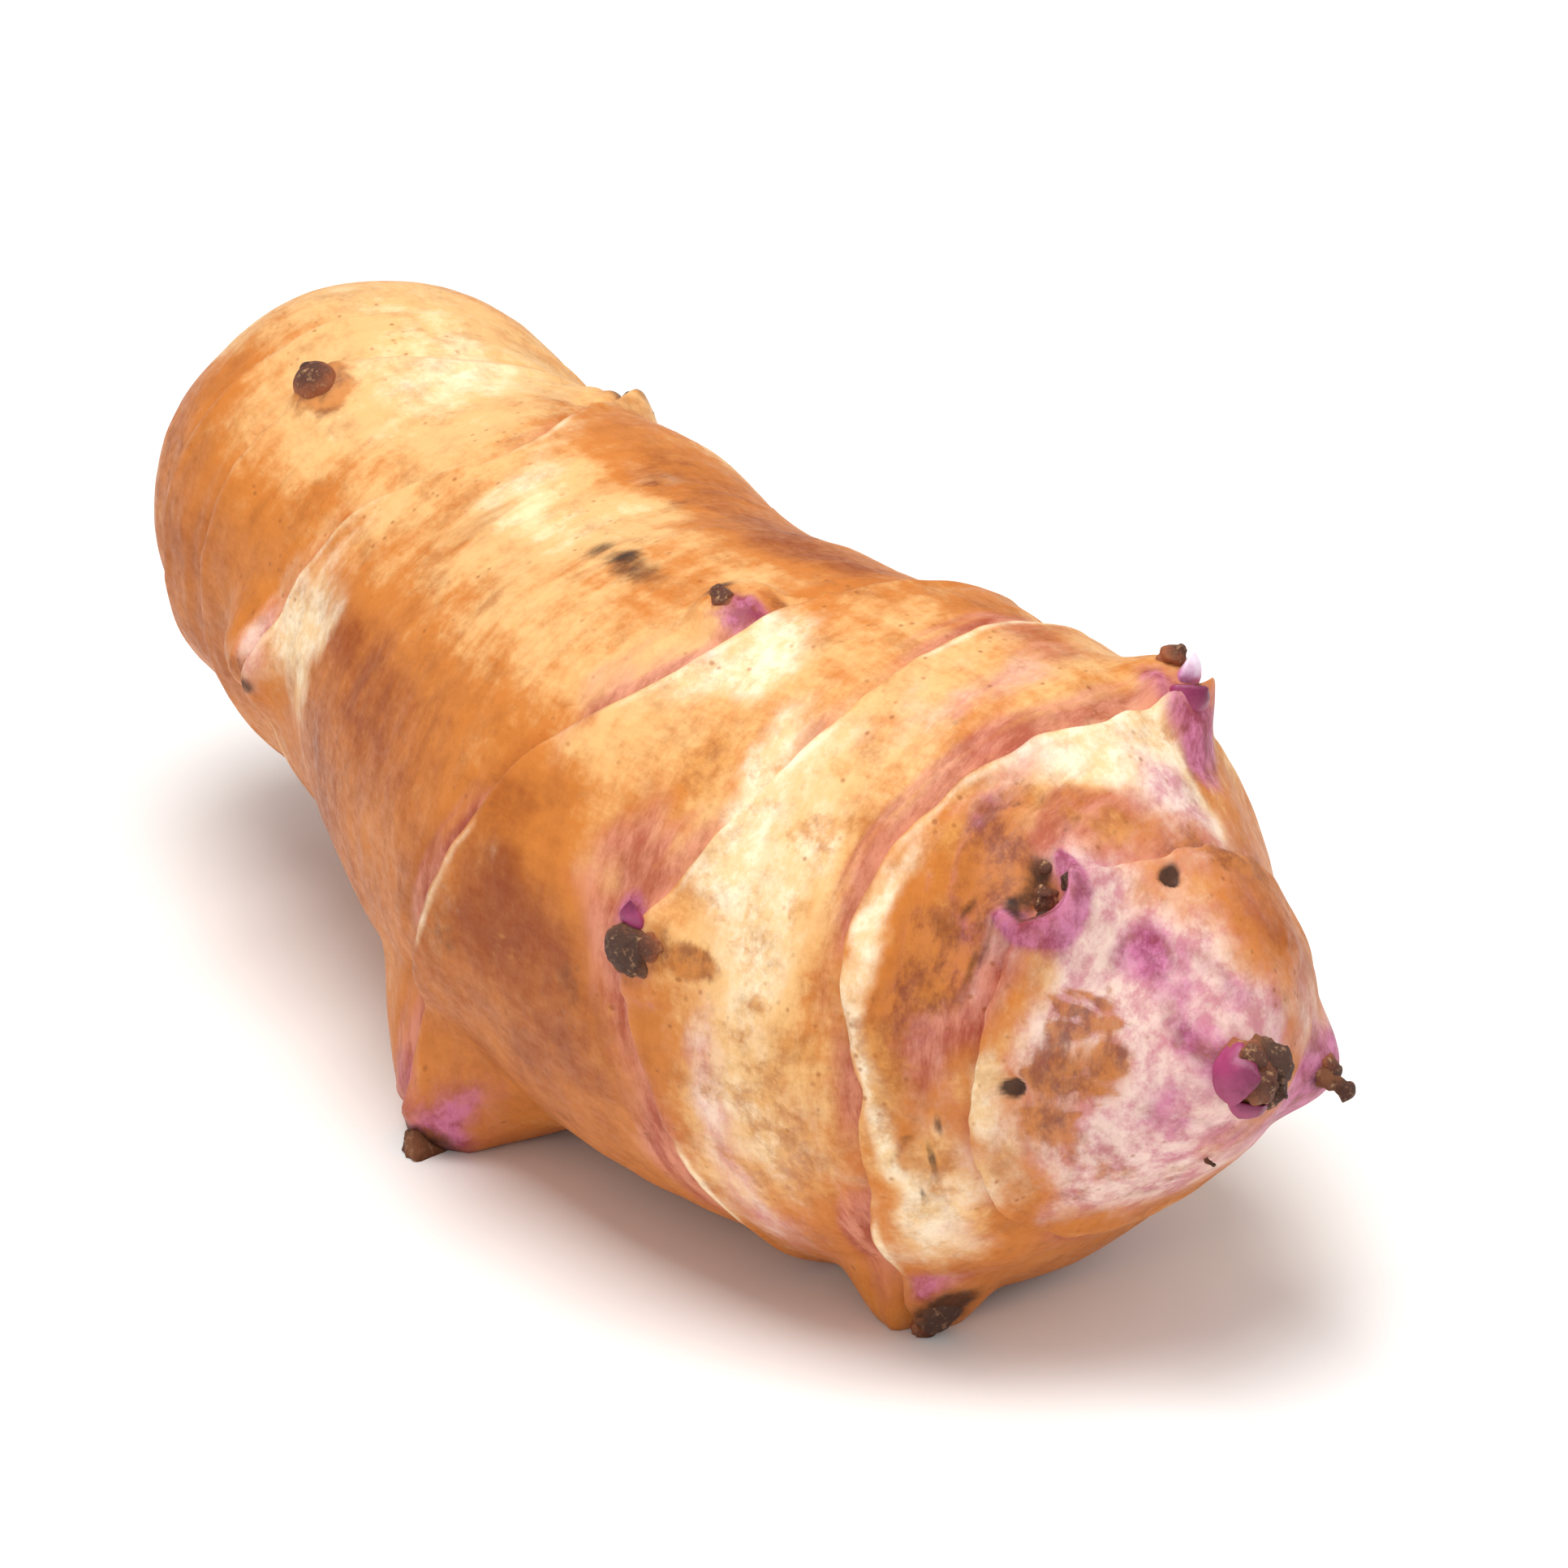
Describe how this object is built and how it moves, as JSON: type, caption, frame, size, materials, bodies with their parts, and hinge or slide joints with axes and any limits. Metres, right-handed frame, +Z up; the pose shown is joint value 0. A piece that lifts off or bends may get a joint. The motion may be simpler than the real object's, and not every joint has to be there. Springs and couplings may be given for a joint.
{
  "type": "jerusalem artichoke",
  "caption": "Elongated knobbly root tuber lying on its side, with slanting leaf-scar rings, pointed buds and a blunt growing tip.",
  "frame": {"origin": "middle of the bounding box, on the surface that the tuber rests on", "axes": "+X from the stolon end to the growing tip, +Z up, +Y to the tuber's left seen from the tail"},
  "size_m": [0.117, 0.0478, 0.0431],
  "materials": {
    "tuber_skin": null
  },
  "bodies": {
    "root": {"tuber": "tuber_skin"}
  },
  "joints": []
}
